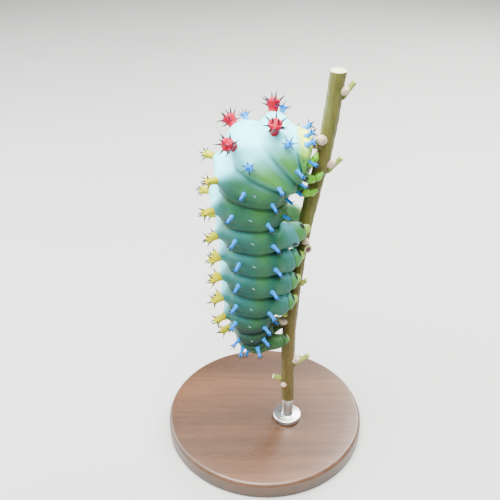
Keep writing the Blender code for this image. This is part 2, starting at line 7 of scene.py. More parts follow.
import bpy
import numpy as np
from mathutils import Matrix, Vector


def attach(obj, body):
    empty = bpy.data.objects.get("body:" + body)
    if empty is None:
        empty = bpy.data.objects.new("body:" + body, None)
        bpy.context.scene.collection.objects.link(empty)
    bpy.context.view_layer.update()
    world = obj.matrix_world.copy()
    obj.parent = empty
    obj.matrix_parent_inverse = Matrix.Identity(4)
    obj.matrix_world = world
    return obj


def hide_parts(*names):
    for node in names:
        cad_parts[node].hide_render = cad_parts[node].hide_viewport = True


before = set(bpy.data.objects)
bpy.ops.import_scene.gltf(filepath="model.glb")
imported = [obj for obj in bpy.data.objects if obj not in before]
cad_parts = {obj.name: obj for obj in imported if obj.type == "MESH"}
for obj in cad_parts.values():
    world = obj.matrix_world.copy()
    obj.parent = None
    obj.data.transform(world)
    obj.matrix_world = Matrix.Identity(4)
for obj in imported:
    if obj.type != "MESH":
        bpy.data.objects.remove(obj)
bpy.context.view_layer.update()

# The skin of the body. Thin soft cuticle, pulled tight by the fluid in it into thirteen rings,
# blue-green with a pale wax bloom on the back, folded in between the rings and raised into a cone
# under each wart. Its colours also carry painted light on the upper faces and painted shade in the
# folds and toward the tail. One closed sleeve carries all of it from the tail to the collar.
SEGMENTS = np.array((
    # x, z, heading from +Z toward +X, half width, half height to the back, and to the belly
    (2.6, -29.8, -19, 4.6, 4.0, 4.2),
    (1.4, -27.7, -13, 6.1, 5.2, 5.3),
    (0.7, -24.4, -8, 7.5, 5.4, 5.9),
    (0.2, -19.0, 3, 8.7, 7.4, 6.9),
    (0.6, -13.1, 6, 9.5, 8.6, 7.9),
    (1.2, -6.4, 5, 9.9, 9.5, 8.5),
    (1.5, 0.5, 2, 10.2, 9.9, 8.8),
    (1.0, 7.6, 0, 10.4, 10.1, 9.0),
    (0.5, 14.4, 5, 10.3, 10.4, 9.2),
    (1.4, 21.2, 19, 10.1, 10.8, 9.5),
    (3.8, 27.4, 40, 9.8, 11.3, 10.5),
    (9.3, 30.6, 63, 8.6, 8.1, 7.6),
    (13.0, 30.7, 88, 6.9, 3.5, 4.4),
))
LAST = len(SEGMENTS) - 1
TAIL_CAP = 2.4  # how far the rounded tail and collar reach past the end rings
COLLAR_CAP = 2.1
COLLAR_TURN = 16.0  # degrees that the collar's front is turned down
RING_LENGTH = 6.6  # usual length and radius of a ring, to turn places into millimetres
RING_RADIUS = 9.6
BODY_PLACE = np.array((-4.5, 0.0, 63.0))
BOW = 1.6  # sideways bow of the body and stem, and the height of the wave that it is part of
BOW_WAVE = 110.0
BODY_STEPS = 25  # rings of the mesh to a segment
BODY_COLUMNS = 208
FOLD_DEPTH = 0.62  # dip toward a fold, and the crease in it
CREASE_DEPTH = 0.2
LIP_HEIGHT = 0.26  # lip that a ring hangs over the fold
BACK_DROP = 0.6  # how far the back lies below the flanks, and the notch in it
NOTCH_DEPTH = 1.2
RIDGE_HEIGHT = 0.35  # ridge along the side
PROLEG_SWELLING = 1.1  # swellings that the prolegs and the walking legs grow out of
LEG_SWELLING = 1.9

# Warts: (ring, degrees from the middle of the back, kind, place from -1 at the rear fold to 1 at
# the front fold, lean toward the tail in degrees, side: 0 both, 1 right, -1 left)
WARTS = (
    (12, 14, "collar", 0.3, -38, 1), (12, 44, "collar", 0.3, -38, 1),
    (12, 50, "collar", 0.3, -38, -1), (12, 80, "small", -0.9, 0, -1),
    (12, 120, "blue", 0.7, 0, 0), (11, 35, "red", -0.04, 0, 0), (11, 60, "crown", 0.36, 0, 1),
    (11, 41, "crown", 0.4, 0, -1), (11, 116, "blue", 0.3, 5, 0), (11, 141, "small", -0.5, 0, 0),
    (10, 36, "red", -0.07, 0, 0), (10, 68, "crown", -0.15, 0, 1), (10, 40, "crown", 0.54, 0, -1),
    (10, 115, "blue", -0.4, 5, 0), (10, 150, "small", -0.4, 0, 0), (9, 31, "yellow", -0.12, 4, 1),
    (9, 20, "yellow", 0.2, 4, -1), (9, 74, "blue", 0.01, 14, 0), (9, 118, "blue", -0.4, 14, 0),
    (9, 150, "small", -0.2, 14, 0), (8, 29, "yellow", -0.06, 4, 1), (8, 22, "yellow", 0.0, 4, -1),
    (8, 62, "blue", 0.13, 14, 0), (8, 115, "blue", -0.3, 14, 0), (8, 150, "small", -0.2, 14, 0),
    (7, 29, "yellow", -0.04, 4, 0), (7, 63, "blue", 0.15, 14, 0), (7, 120, "blue", -0.2, 14, 0),
    (6, 28, "yellow", -0.04, 4, 0), (6, 65, "blue", 0.14, 14, 0), (6, 122, "blue", -0.2, 14, 0),
    (5, 29, "yellow", 0.05, 4, 0), (5, 64, "blue", 0.11, 14, 0), (5, 121, "blue", -0.2, 14, 0),
    (4, 29, "yellow", 0.07, 4, 0), (4, 61, "blue", 0.07, 14, 0), (4, 123, "blue", -0.3, 14, 0),
    (3, 30, "yellow", 0.18, 4, 0), (3, 58, "blue", 0.14, 14, 0), (3, 123, "blue", -0.3, 14, 0),
    (3, 150, "small", -0.2, 14, 0), (2, 46, "blue", -0.15, 14, 0), (2, 121, "blue", -0.3, 14, 0),
    (2, 0, "yellow", 0.05, 6, 0), (1, 50, "blue", 0.0, 35, 0), (1, 98, "blue", 0.0, 35, 0),
    (0, 30, "small", -0.2, 40, 0),
)
CONES = {
    # height of the skin's cone, and how far it spreads toward the head, toward the tail and around
    "red": (1.15, 2.5, 1.8, 2.2), "yellow": (1.35, 2.6, 1.25, 1.9), "crown": (0.7, 1.4, 1.1, 1.3),
    "collar": (0.4, 1.0, 0.8, 0.9), "blue": (0.4, 1.0, 0.8, 0.9), "small": (0.25, 0.8, 0.6, 0.7),
}


def rows_between(table, place):
    """Values of a table at a place counted in rows: a cubic run from row to row whose slope at
    each row is half the step between its neighbours."""
    table = np.asarray(table, float)
    flat = table.reshape(len(table), -1)
    rows = np.concatenate([2 * flat[:1] - flat[1:2], flat, 2 * flat[-1:] - flat[-2:-1]])
    place = np.clip(place, 0, len(table) - 1)
    row = np.minimum(place.astype(int), len(table) - 2)
    part = (place - row)[..., None]
    before, low, high, after = (rows[row + step] for step in range(4))
    run = (low + 0.5 * part * (high - before)
           + part ** 2 * (before - 2.5 * low + 2 * high - 0.5 * after)
           + part ** 3 * (1.5 * low - 0.5 * before - 1.5 * high + 0.5 * after))
    return run.reshape(place.shape + table.shape[1:])


def ease(start, end, value):
    """0 before start, 1 after end, and a smooth step between: 3x^2 - 2x^3."""
    part = np.clip((value - start) / (end - start), 0, 1)
    return part * part * (3 - 2 * part)


def bell(offset, width):
    """Bell curve e^-(offset/width)^2."""
    return np.exp(-(offset / width) ** 2)


def full_turn(columns):
    """Angles of so many columns, evenly round from 0 and short of 2 pi."""
    return np.linspace(0, 2 * np.pi, columns, endpoint=False)


def band(p, middle, width):
    """Bell across a ring about a place in it, its width in millimetres."""
    return bell((p - middle) * RING_LENGTH / 2, width)


def directions(heading):
    """Along the body, to its back and to its right, for a heading in degrees."""
    turn = np.radians(heading)
    zero = np.zeros_like(turn)
    along = np.stack([np.sin(turn), zero, np.cos(turn)], -1)
    back = np.stack([-np.cos(turn), zero, np.sin(turn)], -1)
    right = np.stack([zero, zero - 1, zero], -1)
    return along, back, right


def skin_at(place, angle, rise=0.0):
    """Point of the skin at a place counted in rings from the tail, and an angle in radians from
    the middle of the back toward the right: centre + back * height * cos + right * width * sin.
    Past the end rings the half sizes follow a quarter ellipse down to a point."""
    inner = np.clip(place, 0, LAST)
    over = place - inner
    row = np.moveaxis(rows_between(SEGMENTS, inner), -1, 0)
    x, z, heading, width, back_height, belly_height = row
    along, back, right = directions(heading + COLLAR_TURN * np.maximum(over, 0))
    quarter = over * np.pi / 2
    slim = np.cos(quarter)
    centre = np.stack([x, np.zeros_like(x), z], -1)
    reach = np.where(over > 0, COLLAR_CAP, TAIL_CAP) * np.sin(quarter)
    height = np.where(np.cos(angle) > 0, back_height, belly_height)
    return (centre + along * reach[..., None]
            + back * ((height * slim + rise) * np.cos(angle))[..., None]
            + right * ((width * slim + rise) * np.sin(angle))[..., None])


def in_ring(place, angle):
    """Place in the nearest ring, p, from -1 at its rear fold to 1 at its front fold, its size
    |p|, and the degrees from the middle of the back."""
    p = 2 * (place - np.round(np.clip(place, 0, LAST)))
    return p, np.abs(p), np.degrees(np.abs(angle))


def skin_rise(place, angle):
    """How far the skin stands off the smooth body: a dip of |p|^2.2 toward each fold and a crease
    in it, a soft lip that the ring ahead hangs over it, two faint creases to a ring, a side
    ridge, swellings over the limbs, a lower back with a notch behind the chest, and a bell-shaped
    cone under each wart, steeper to the tail, joined to its fellow by a low ridge over the back.
    A fine waviness lies over all, and it ends short of the tail and the collar's front."""
    p, off, turn = in_ring(place, angle)
    chest = ease(9.4, 10.2, place)
    side = ease(20 + 30 * chest, 52 + 30 * chest, turn)
    back = 1 - ease(26, 54, turn)
    lowered = ease(1.5, 3.0, place) * (1 - ease(10.3, 11.0, place))
    ridged = ease(2.2, 2.8, place) * (1 - ease(9.2, 9.8, place))
    footed = ease(3.4, 3.8, place) * (1 - ease(7.2, 7.6, place))
    full = 1 - np.minimum(off, 1) ** 3
    rise = -FOLD_DEPTH * np.minimum(off, 1) ** 2.2 * (1 + 0.55 * chest * (1 - ease(30, 60, turn)))
    rise -= CREASE_DEPTH * band(off, 1, 0.5) * (0.25 + 0.75 * side) * (1 - 0.7 * chest)
    rise += LIP_HEIGHT * band(p, -0.72, 0.62) * side
    rise -= back * (lowered * (BACK_DROP + 0.45 * ease(0.35, 0.9, off))
                    + NOTCH_DEPTH * bell((place - 9.5) * RING_LENGTH, 1.5))
    rise -= side * (0.07 * band(p, -0.36, 0.3) + 0.05 * band(p, 0.52, 0.26))
    rise += full * (RIDGE_HEIGHT * bell(turn - 129, 7.0) * ridged
                    + PROLEG_SWELLING * bell(turn - 134, 17) * footed)
    rise += LEG_SWELLING * bell(turn - 136, 19) * ease(9.0, 9.9, place) * (0.75 + 0.25 * full)
    for ring, degrees, kind, at, lean, side_only in WARTS:
        high, ahead, behind, width = CONES[kind]
        along = (place - ring - at / 2) * RING_LENGTH
        on_side = np.where(angle * side_only < 0, -turn, turn)
        around = np.radians(on_side - degrees) * RING_RADIUS * 0.95
        spread = np.where(along > 0, ahead, behind)
        rise += high * np.exp(-(along / spread) ** 2 - (around / width) ** 2)
        if kind in ("red", "yellow") and degrees:
            between = 1 - ease(degrees - 8, degrees + 16, turn)
            rise += 0.3 * high * bell(along, 0.9 * spread) * between
    rise += 0.05 * np.sin(place * 9.1 + 2.0 * np.sin(angle * 3)) * np.sin(angle * 11 + place * 2.3)
    return rise * ease(-0.35, 0.2, place) * (1 - ease(LAST, LAST + 0.3, place))


def skin_colours(place, angle):
    """Shares of the skin's colours, sums of eases and bells of the place in the ring, the place
    along the body and the turn from the back: wax bloom on the back, spread as painted light over
    the upward faces of the chest, the front of each ring and the flanks under the back's cones;
    lime on the sides, belly and tail, with painted olive shade in the hollows under the back's
    cones; mint on the sides of the chest; painted shade in and toward the folds, over the rear half
    of each ring, down the flanks and toward the tail; and the pale yellow plate behind the head.
    The limbs alone bear black marks."""
    p, off, turn = in_ring(place, angle)
    chest = ease(8.7, 10.0, place)
    middle = ease(7.3, 8.3, place)
    waist = bell(place - 8.4, 0.8)
    front = ease(11.45, 11.85, place)
    ahead = ease(-0.3 - 0.6 * middle, 0.5, p)
    # Wax bloom on the back, with painted light: wider over the upward faces of the chest, on the
    # front of each ring, over the front rings of the belly, under the back's cones and along the
    # chest's fold edges.
    bloom_and_painted_light = 1 - ease(12 + 2 * ahead + 28 * chest, 25 + 15 * ahead + 72 * chest, turn)
    bloom_and_painted_light += 0.3 * ease(0.1, 0.7, p) * (1 - ease(60, 115, turn)) * (
        1 - middle * ease(28, 46, turn))
    bloom_and_painted_light += 0.3 * bell(place - 8.9, 0.75) * ease(-0.6, 0.5, p) * (1 - ease(26, 70, turn))
    bloom_and_painted_light += 0.34 * bell(p + 0.15, 0.5) * bell(turn - 32, 15) * (1 - chest) * ease(
        2.5, 4.0, place)
    bloom_and_painted_light = np.clip(bloom_and_painted_light, 0, 1) ** 1.7 * (1 - front * (0.76 + 0.22 * ease(45, 70, turn)))
    bloom_and_painted_light += 0.2 * chest * (1 - front) * ease(0.4, 0.85, off) * (1 - ease(95, 135, turn))
    lime = 0.7 * bell(turn - 103, 14) * (0.4 + 0.6 * off) * (1 - chest)
    lime += 0.5 * ease(122, 150, turn) + 0.9 * (1 - ease(1.3, 4.0, place))
    # Painted olive shade in the hollows by the folds under the back's cones.
    lime += 0.45 * bell(turn - 46, 11) * ease(0.5, 1.0, off) * (1 - chest)
    lime += 0.28 * waist * ease(40, 62, turn) + 0.8 * front
    mint = chest * bell(turn - 88, 36) * bell(p + 0.1, 0.85) + front * (1 - ease(95, 130, turn))
    # Painted shade: darker in the creases of the folds, over the rear half of each ring and down
    # the flanks, less on the chest, and deep toward the tail.
    painted_shade = 0.4 * band(off, 1, 0.5) + 0.2 * band(p, -0.48, 0.3)
    painted_shade = (painted_shade + 0.5 * ease(0.15, -0.75, p)) * (1 - 0.6 * chest)
    painted_shade *= 0.12 + 0.88 * ease(22 + 30 * chest, 50 + 34 * chest, turn)
    painted_shade = 0.65 * painted_shade * (place > 0) * (place < LAST) + 0.5 * (1 - ease(2.0, 6.5, place))
    painted_shade += 0.48 * (1 - ease(1.4, 3.6, place)) - 0.36 * (1 - ease(0.7, 2.3, place))
    painted_shade += (0.1 * (1 - chest) + 0.16 * waist) * ease(30, 60, turn)
    plate = front * ease(11.55, 11.95, place) * (
        1 - 0.72 * ease(40, 58, turn) - 0.28 * ease(70, 105, turn))
    return {"bloom_and_painted_light": bloom_and_painted_light, "lime": np.clip(lime, 0, 1), "mint": mint, "painted_shade": painted_shade,
            "plate": plate, "mark": 0 * place}


def settled(points):
    """Layout points in the part's frame, in metres: moved sideways by a slow cosine wave of their
    height, which gives the body and stem their gentle bow, and onto the stand."""
    moved = np.array(points, float)
    moved[..., 1] += -1.0 + BOW * np.cos(2 * np.pi * (moved[..., 2] - 1.0) / BOW_WAVE)
    return (moved + BODY_PLACE) * 0.001


def make_piece(name, sleeves, materials, replaced=()):
    """One mesh of closed sleeves. A sleeve is a grid of rings by columns by xyz in metres, with
    its colour shares and material number. Its columns are turned round where its faces would
    point inward, and its first and last rings shrink to single points."""
    points, quads, fans, shares, quad_numbers, fan_numbers = [], [], [], {}, [], []
    start = 0
    for grid, fields, number in sleeves:
        rings, columns = grid.shape[:2]
        about = grid - grid.mean((0, 1))
        across = np.roll(about, -1, axis=1)[:-1] - about[:-1]
        facing = np.cross(across, about[1:] - about[:-1])
        if (about[:-1] * facing).sum() < 0:
            grid = grid[:, ::-1]
            fields = {key: value[:, ::-1] for key, value in fields.items()}
        inner = start + np.arange((rings - 2) * columns).reshape(rings - 2, columns)
        beside = np.roll(inner, -1, axis=1)
        low = start + inner.size
        points += [grid[1:-1].reshape(-1, 3), grid[0].mean(0)[None], grid[-1].mean(0)[None]]
        quads.append(np.stack([inner[:-1], beside[:-1], beside[1:], inner[1:]], -1).reshape(-1, 4))
        ends = np.full(columns, low)
        fans += [np.stack([beside[0], inner[0], ends], -1),
                 np.stack([inner[-1], beside[-1], ends + 1], -1)]
        quad_numbers += [number] * len(quads[-1])
        fan_numbers += [number] * (2 * columns)
        for key, value in fields.items():
            shares.setdefault(key, []).append(
                np.concatenate([value[1:-1].ravel(), value[0, :1], value[-1, :1]]))
        start = low + 2
    mesh = bpy.data.meshes.new(name)
    faces = np.concatenate(quads).tolist() + np.concatenate(fans).tolist()
    mesh.from_pydata(np.concatenate(points).tolist(), [], faces)
    for key, values in shares.items():
        mesh.attributes.new(key, "FLOAT", "POINT").data.foreach_set(
            "value", np.concatenate(values).astype(np.float32))
    for material in materials:
        mesh.materials.append(material)
    mesh.polygons.foreach_set("material_index", quad_numbers + fan_numbers)
    mesh.shade_smooth()
    piece = bpy.data.objects.new(name, mesh)
    bpy.context.scene.collection.objects.link(piece)
    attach(piece, "root")
    if replaced:
        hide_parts(*replaced)


def mottle_group():
    """Node group of soft blotches and fine grain: two noises of different size on the object's
    own coordinates, each spread from 0 to 1."""
    group = bpy.data.node_groups.new("Mottle", "ShaderNodeTree")
    for label, kind in (("Blotch Size", "Float"), ("Grain Size", "Float"), ("Stretch", "Vector")):
        group.interface.new_socket(label, in_out="INPUT", socket_type="NodeSocket" + kind)
    for label in ("Blotch", "Grain"):
        group.interface.new_socket(label, in_out="OUTPUT", socket_type="NodeSocketFloat")
    nodes, links = group.nodes, group.links
    given, result = nodes.new("NodeGroupInput"), nodes.new("NodeGroupOutput")
    place = nodes.new("ShaderNodeTexCoord")
    scaled = nodes.new("ShaderNodeVectorMath")
    scaled.operation = "MULTIPLY"
    links.new(place.outputs["Object"], scaled.inputs[0])
    links.new(given.outputs["Stretch"], scaled.inputs[1])
    for label, detail, low, high in (("Blotch", 3.0, 0.35, 0.65), ("Grain", 4.0, 0.3, 0.7)):
        noise = nodes.new("ShaderNodeTexNoise")
        noise.inputs["Detail"].default_value = detail
        links.new(scaled.outputs[0], noise.inputs["Vector"])
        links.new(given.outputs[label + " Size"], noise.inputs["Scale"])
        spread = nodes.new("ShaderNodeMapRange")
        spread.inputs["From Min"].default_value = low
        spread.inputs["From Max"].default_value = high
        links.new(noise.outputs["Fac"], spread.inputs["Value"])
        links.new(spread.outputs["Result"], result.inputs[label])
    return group


MOTTLE = mottle_group()


def laid_over(tree, share, under, over, gain=1.0):
    """Colour over another by a share times a gain. The lower one is a socket or three numbers."""
    mix = tree.nodes.new("ShaderNodeMix")
    mix.data_type = "RGBA"
    level = tree.nodes.new("ShaderNodeMath")
    level.operation = "MULTIPLY"
    level.use_clamp = True
    tree.links.new(share, level.inputs[0])
    level.inputs[1].default_value = gain
    tree.links.new(level.outputs[0], mix.inputs["Factor"])
    lower, upper = (socket for socket in mix.inputs if socket.type == "RGBA")
    if isinstance(under, tuple):
        lower.default_value = (*under, 1.0)
    else:
        tree.links.new(under, lower)
    upper.default_value = (*over, 1.0)
    return [socket for socket in mix.outputs if socket.type == "RGBA"][0]


def new_material(name, mottles, base, layers, relief, **sockets):
    """Principled material with plain numbers on its own sockets. Layers of (share, colour, gain
    if not 1) lie over its base colour one after the other. A share is one of the mesh's by its
    name, or the blotch or grain of a mottle, which is given as (blotch size, grain size, stretch)
    in waves to the metre. The relief is the share whose bump it bears and its depth in
    millimetres."""
    made = bpy.data.materials.new(name)
    made.use_nodes = True
    tree = made.node_tree
    shader = tree.nodes["Principled BSDF"]
    for key, value in sockets.items():
        shader.inputs[key.replace("_", " ")].default_value = value
    shares = {}
    for label, sizes in mottles.items():
        node = tree.nodes.new("ShaderNodeGroup")
        node.node_tree = MOTTLE
        for socket, size in zip(node.inputs, (*sizes, (1, 1, 1))):
            socket.default_value = size
        for output in node.outputs:
            shares["%s %s" % (label, output.name.lower())] = output
    colour = base
    for share, over, *gain in layers:
        if share not in shares:
            attribute = tree.nodes.new("ShaderNodeAttribute")
            attribute.attribute_name = share
            shares[share] = attribute.outputs["Fac"]
        colour = laid_over(tree, shares[share], colour, over, *gain)
    tree.links.new(colour, shader.inputs["Base Color"])
    bump = tree.nodes.new("ShaderNodeBump")
    bump.inputs["Strength"].default_value = 1.0
    bump.inputs["Distance"].default_value = relief[1] * 0.001
    tree.links.new(shares[relief[0]], bump.inputs["Height"])
    tree.links.new(bump.outputs["Normal"], shader.inputs["Normal"])
    return made


SKIN = new_material(
    "Larva skin", {"skin": (260.0, 2600.0)}, (0.002, 0.058, 0.042), (
        ("skin blotch", (0.006, 0.09, 0.064)),
        ("lime", (0.046, 0.185, 0.012), 0.9),
        ("mint", (0.1, 0.4, 0.045), 0.9),
        # wax bloom, and painted light on the upper faces
        ("bloom_and_painted_light", (0.2, 0.86, 1.0), 0.97),
        ("skin grain", (0.2, 0.6, 0.55), 0.05),
        ("plate", (0.76, 0.86, 0.06)),
        # painted shade
        ("painted_shade", (0.004, 0.024, 0.019), 0.9),
        ("mark", (0.004, 0.004, 0.006))),
    ("skin grain", 0.035), Roughness=0.45, Subsurface_Weight=0.12, Subsurface_Scale=0.0012,
    Subsurface_Radius=(0.8, 1.0, 0.7), Specular_IOR_Level=0.18, Coat_Weight=0.02,
    Coat_Roughness=0.3)
place, angle = np.meshgrid(np.linspace(-1, LAST + 1, (LAST + 2) * BODY_STEPS),
                           np.linspace(-np.pi, np.pi, BODY_COLUMNS, endpoint=False),
                           indexing="ij")
body = skin_at(place, angle, skin_rise(place, angle))
make_piece("skin", [(settled(body), skin_colours(place, angle), 0)], [SKIN],
           ["thorax_1", "thorax_2", "thorax_3", "anal_segment"]
           + ["abdomen_%d" % number for number in range(1, 10)])

# The four pairs of prolegs. Broad fleshy flaps swell out of the belly's edges and narrow to a
# soft yellow-green foot that grips the stem. Each is drawn on from the skin that it grows out of,
# a little sunk in it, so the skin runs on over it. Its foot bears a black spot in front.
STEM_ROUTE = np.array((  # x, z
    (11.2, -50.0), (11.0, -27.0), (13.2, -1.0), (15.9, 17.0), (18.2, 29.5), (20.2, 50.0)))
PROLEGS = {
    # ring: rise of the foot along the stem, degrees that its head end is drawn back, and length
    7: (0.8, 24, 1.1), 6: (0.2, 14, 1.08), 5: (0.5, 10, 1.03), 4: (0.9, 10, 1.03),
}
PROLEG_ROOTS = ((0.6, 0.9), (1.34, 0.34), (1.22, 0.06), (1.0, -0.05))  # size, depth in the skin
PROLEG_RINGS = (
    # from the middle plane, part of the way to the stem, half length, half thickness
    (5.85, 0.6, 3.45, 2.3),
    (5.7, 0.67, 3.35, 2.2),
    (5.5, 0.73, 3.12, 2.05),
    (5.3, 0.77, 2.72, 1.85),
    (5.1, 0.79, 2.42, 1.58),
    (4.85, 0.84, 2.52, 1.72),
    (4.45, 0.9, 2.36, 1.62),
    (4.12, 0.945, 1.85, 1.32),
    (3.9, 0.965, 1.22, 1.02),
    (3.68, 0.99, 1.2, 1.08),
    (3.48, 1.03, 1.1, 0.95),
    (3.32, 1.065, 0.7, 0.6),
    (3.27, 1.075, 0.12, 0.1),
)
PROLEG_ANGLE = 146  # degrees from the middle of the back to a proleg's root
PROLEG_STEPS = 120
FRONT_RING = 7  # the foremost pair spreads widest and shows its inner faces
round_angle = full_turn(56)


def stem_x(height):
    """The stem's x at a height: a cubic run between the route's points, the slope at each that
    of the chord between its neighbours."""
    height = np.asarray(height, float)
    x, z = STEM_ROUTE.T
    ends = np.arange(len(z))
    before, after = np.maximum(ends - 1, 0), np.minimum(ends + 1, len(z) - 1)
    slope = (x[after] - x[before]) / (z[after] - z[before])
    span = np.clip(np.searchsorted(z, height) - 1, 0, len(z) - 2)
    run = z[span + 1] - z[span]
    part = (height - z[span]) / run
    return ((2 * part ** 3 - 3 * part ** 2 + 1) * x[span]
            + (3 * part ** 2 - 2 * part ** 3) * x[span + 1]
            + run * ((part ** 3 - 2 * part ** 2 + part) * slope[span]
                     + (part ** 3 - part ** 2) * slope[span + 1]))


def unit(vectors):
    """Vectors at length 1."""
    return vectors / np.linalg.norm(vectors, axis=-1, keepdims=True)


def root_oval(ring, size, sign, sunk):
    """Oval of points on the skin round the place where a proleg grows out of it, sunk a little:
    half sizes 3.2 along the body and 3.3 round it, times the size."""
    at = ring + 3.2 * size / RING_LENGTH * np.cos(round_angle)
    turn = sign * (np.radians(PROLEG_ANGLE) + 3.3 * size / RING_RADIUS * np.sin(round_angle))
    return skin_at(at, turn, skin_rise(at, turn) - sunk)


def proleg(ring, sign):
    """Sleeve through ovals: those of the root on the skin, then centre + length * cos + thickness
    * sin in planes square to the way to the stem. Its spots, painted light and painted shade are
    bells and eases of the place down it, counted in ovals, and of the angle around it."""
    rise, drawn_back, stretch = PROLEGS[ring]
    foremost = ring == FRONT_RING
    x, z, heading = SEGMENTS[ring][:3]
    along, back, right = directions(heading)
    reach = (stem_x(z) - x) / -back[0]
    loops = [root_oval(ring, size, sign, sunk) for size, sunk in PROLEG_ROOTS]
    middles = [np.array((x, 0.0, z)) + right * sign * off - back * part * reach
               + np.array((0, 0, rise * part)) for off, part, length, thick in PROLEG_RINGS]
    if foremost:
        middles = [middle + back * reach * 0.07 * bell(order - 4, 1.6)
                   for order, middle in enumerate(middles)]
    for order, (off, part, length, thick) in enumerate(PROLEG_RINGS):
        way = middles[min(order + 1, len(middles) - 1)] - middles[max(order - 1, 0)]
        across = np.cross(along, unit(way)) * sign
        drawn = back * np.tan(np.radians(drawn_back)) * min(1, 3 * (1.08 - part))
        loops.append(middles[order]
                     + (along + drawn) * length * stretch * np.cos(round_angle)[:, None]
                     + across * thick * np.sin(round_angle)[:, None])
    steps = np.linspace(0, len(loops) - 1, PROLEG_STEPS)
    down = steps[:, None] + 0 * round_angle
    around = 0 * down + round_angle
    spot = 0.44 if foremost else 0.62
    mark = bell((around + 0.6 + np.pi) % (2 * np.pi) - np.pi, spot) * bell(down - 10.6, 1.35 * spot)
    mark += foremost * bell(around - np.pi - 0.92, 0.22) * bell(down - 5.1, 0.75)
    upper = ease(0.35, 1.0, np.cos(around)) * ease(3.0, 4.5, down) * (1 - ease(9.0, 11.5, down))
    thigh = ease(3.0, 5.0, down) * (1 - ease(6.9, 7.6, down))
    inner = ease(-0.4, 0.3, np.sin(around)) * ease(0.4, 1.8, down) * foremost
    return settled(rows_between(np.array(loops), steps)), {
        # Painted highlight on the ridge before the foot, a paler thigh, and painted light on the
        # upper side and on the foremost pair's inner faces.
        "bloom_and_painted_light": (0.07 * bell(down - 7.2, 0.55) + (0.17 if foremost else 0.05) * thigh
                  + 0.22 * upper + inner),
        "lime": 0.1 + 0.25 * (1 - ease(2.5, 6.5, down)) + 0.3 * ease(7.6, 8.4, down),
        "mint": 0.4 * ease(7.8, 8.8, down) + 0.6 * ease(11.2, 12.0, down),
        # Painted shade in the grooves before the foot and at the sole, and over all but the
        # foremost pair's inner faces.
        "painted_shade": (0.3 * bell(down - 8.0, 0.45) + 0.3 * bell(down - 11.4, 0.3)
                 + 0.22 * (1 - inner)),
        # A pale yellow sole, and pale yellow painted light on the foremost pair's inner faces.
        "plate": 0.26 * ease(10.6, 11.8, down) + 0.5 * inner,
        "mark": ease(0.25, 0.5, mark)}, 0


# The two claspers under the tail. Stout fleshy pads that pinch the stem from both sides, green
# with painted shade, with a yellow-green sole and a black spot in front of it.
CLASPER_ROUTE = np.array(((3.3, 2.0, -28.9), (5.7, 3.3, -27.6), (7.8, 4.0, -26.8),
                          (9.5, 3.7, -26.4), (10.6, 3.0, -26.2)))
CLASPER_RADII = (2.3, 2.25, 1.95, 1.5, 0.9)
LIMB_SIDE = (1.0, 0.3, 0.2)  # no limb points along this, which sets where its columns start


def rays(way, aside, turn, flat=1.0):
    """Directions square to a way: first * cos + second * flat * sin, where the first is square to
    the way and to aside, and the second to both."""
    first = unit(np.cross(way, aside))
    second = np.cross(way, first) * flat
    return first * np.cos(turn)[..., None] + second * np.sin(turn)[..., None]


def limb(route, radii, steps, columns, flat=1.0, swell=None):
    """Tapering tube along a route of points, its rings square to the route: centre + radius *
    rays. Both ends close to a point over the last two rings. Returns its grid and the place along
    the route, counted in points."""
    reach = np.linspace(0, len(route) - 1, steps)
    middle = rows_between(np.asarray(route, float), reach)
    radius = rows_between(np.asarray(radii, float)[:, None], reach)[:, 0]
    if swell is not None:
        radius = radius * swell(reach)
    radius = radius * np.sqrt(np.clip(1 - np.linspace(-1, 1, steps) ** 24, 0, 1))
    way = unit(np.gradient(middle, axis=0))[:, None]
    turn = full_turn(columns)
    grid = middle[:, None] + radius[:, None, None] * rays(way, LIMB_SIDE, turn, flat)
    return grid, reach[:, None] + 0 * turn


def clasper(sign):
    """Tapering limb, its black spot where its upper side meets the sole."""
    grid, down = limb(CLASPER_ROUTE * (1, -sign, 1), CLASPER_RADII, 40, 40)
    upper = ease(0.35, 0.8, (grid[..., 2] - grid[..., 2].mean(1)[:, None]) / 1.6)
    sole = ease(2.9, 3.6, down)
    return settled(grid), {
        # painted shade darkens the pad away from its sole
        "bloom_and_painted_light": 0 * down, "lime": 1 + 0 * down, "mint": 0.5 * sole, "painted_shade": 0.74 - 0.42 * sole,
        "plate": 0.03 + 0.2 * ease(3.4, 4.0, down),
        "mark": ease(0.4, 0.7, upper * bell(down - 3.3, 0.35))}, 0


make_piece("prolegs", [proleg(ring, sign) for ring in PROLEGS for sign in (1, -1)]
           + [clasper(1), clasper(-1)], [SKIN],
           ["proleg_%d_%s" % (number, side)
            for number in (3, 4, 5, 6) for side in ("right", "left")]
           + ["clasper_right", "clasper_left"])

